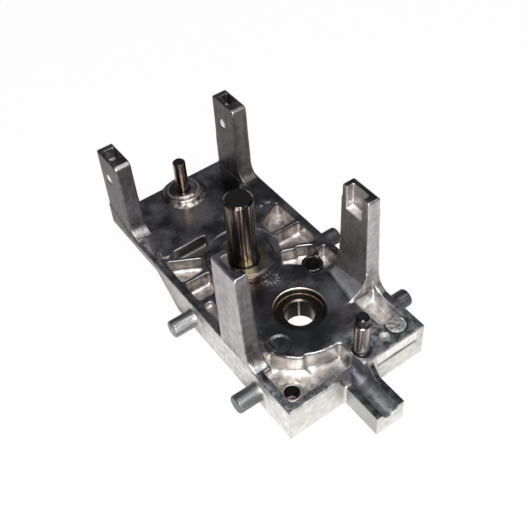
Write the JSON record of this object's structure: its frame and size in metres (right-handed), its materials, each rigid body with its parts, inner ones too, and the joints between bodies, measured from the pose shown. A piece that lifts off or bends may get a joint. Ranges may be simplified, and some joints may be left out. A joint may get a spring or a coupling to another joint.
{
  "type": "jigsaw bearing plate",
  "caption": "Die-cast plate with upright posts, side trunnions and a guide tongue, holding a plain bearing bush and pressed-in steel pins.",
  "frame": {"origin": "middle of the bearing bore, on its axis", "axes": "+Z along the bearing axis, up out of the deck; +Y from the guide tongue towards the thin tail; +X to the right seen from the tongue end"},
  "size_m": [0.068, 0.1205, 0.0505],
  "materials": {
    "cast_aluminium": "as cast, smooth machined deck",
    "bush_bronze": "turned, oiled",
    "pin_steel": "ground and polished, oiled"
  },
  "bodies": {
    "root": {"bearing_plate": "cast_aluminium", "bearing_bush": "bush_bronze", "gear_pin": "pin_steel", "rear_pin": "pin_steel", "stepped_pin": "pin_steel"}
  },
  "joints": []
}
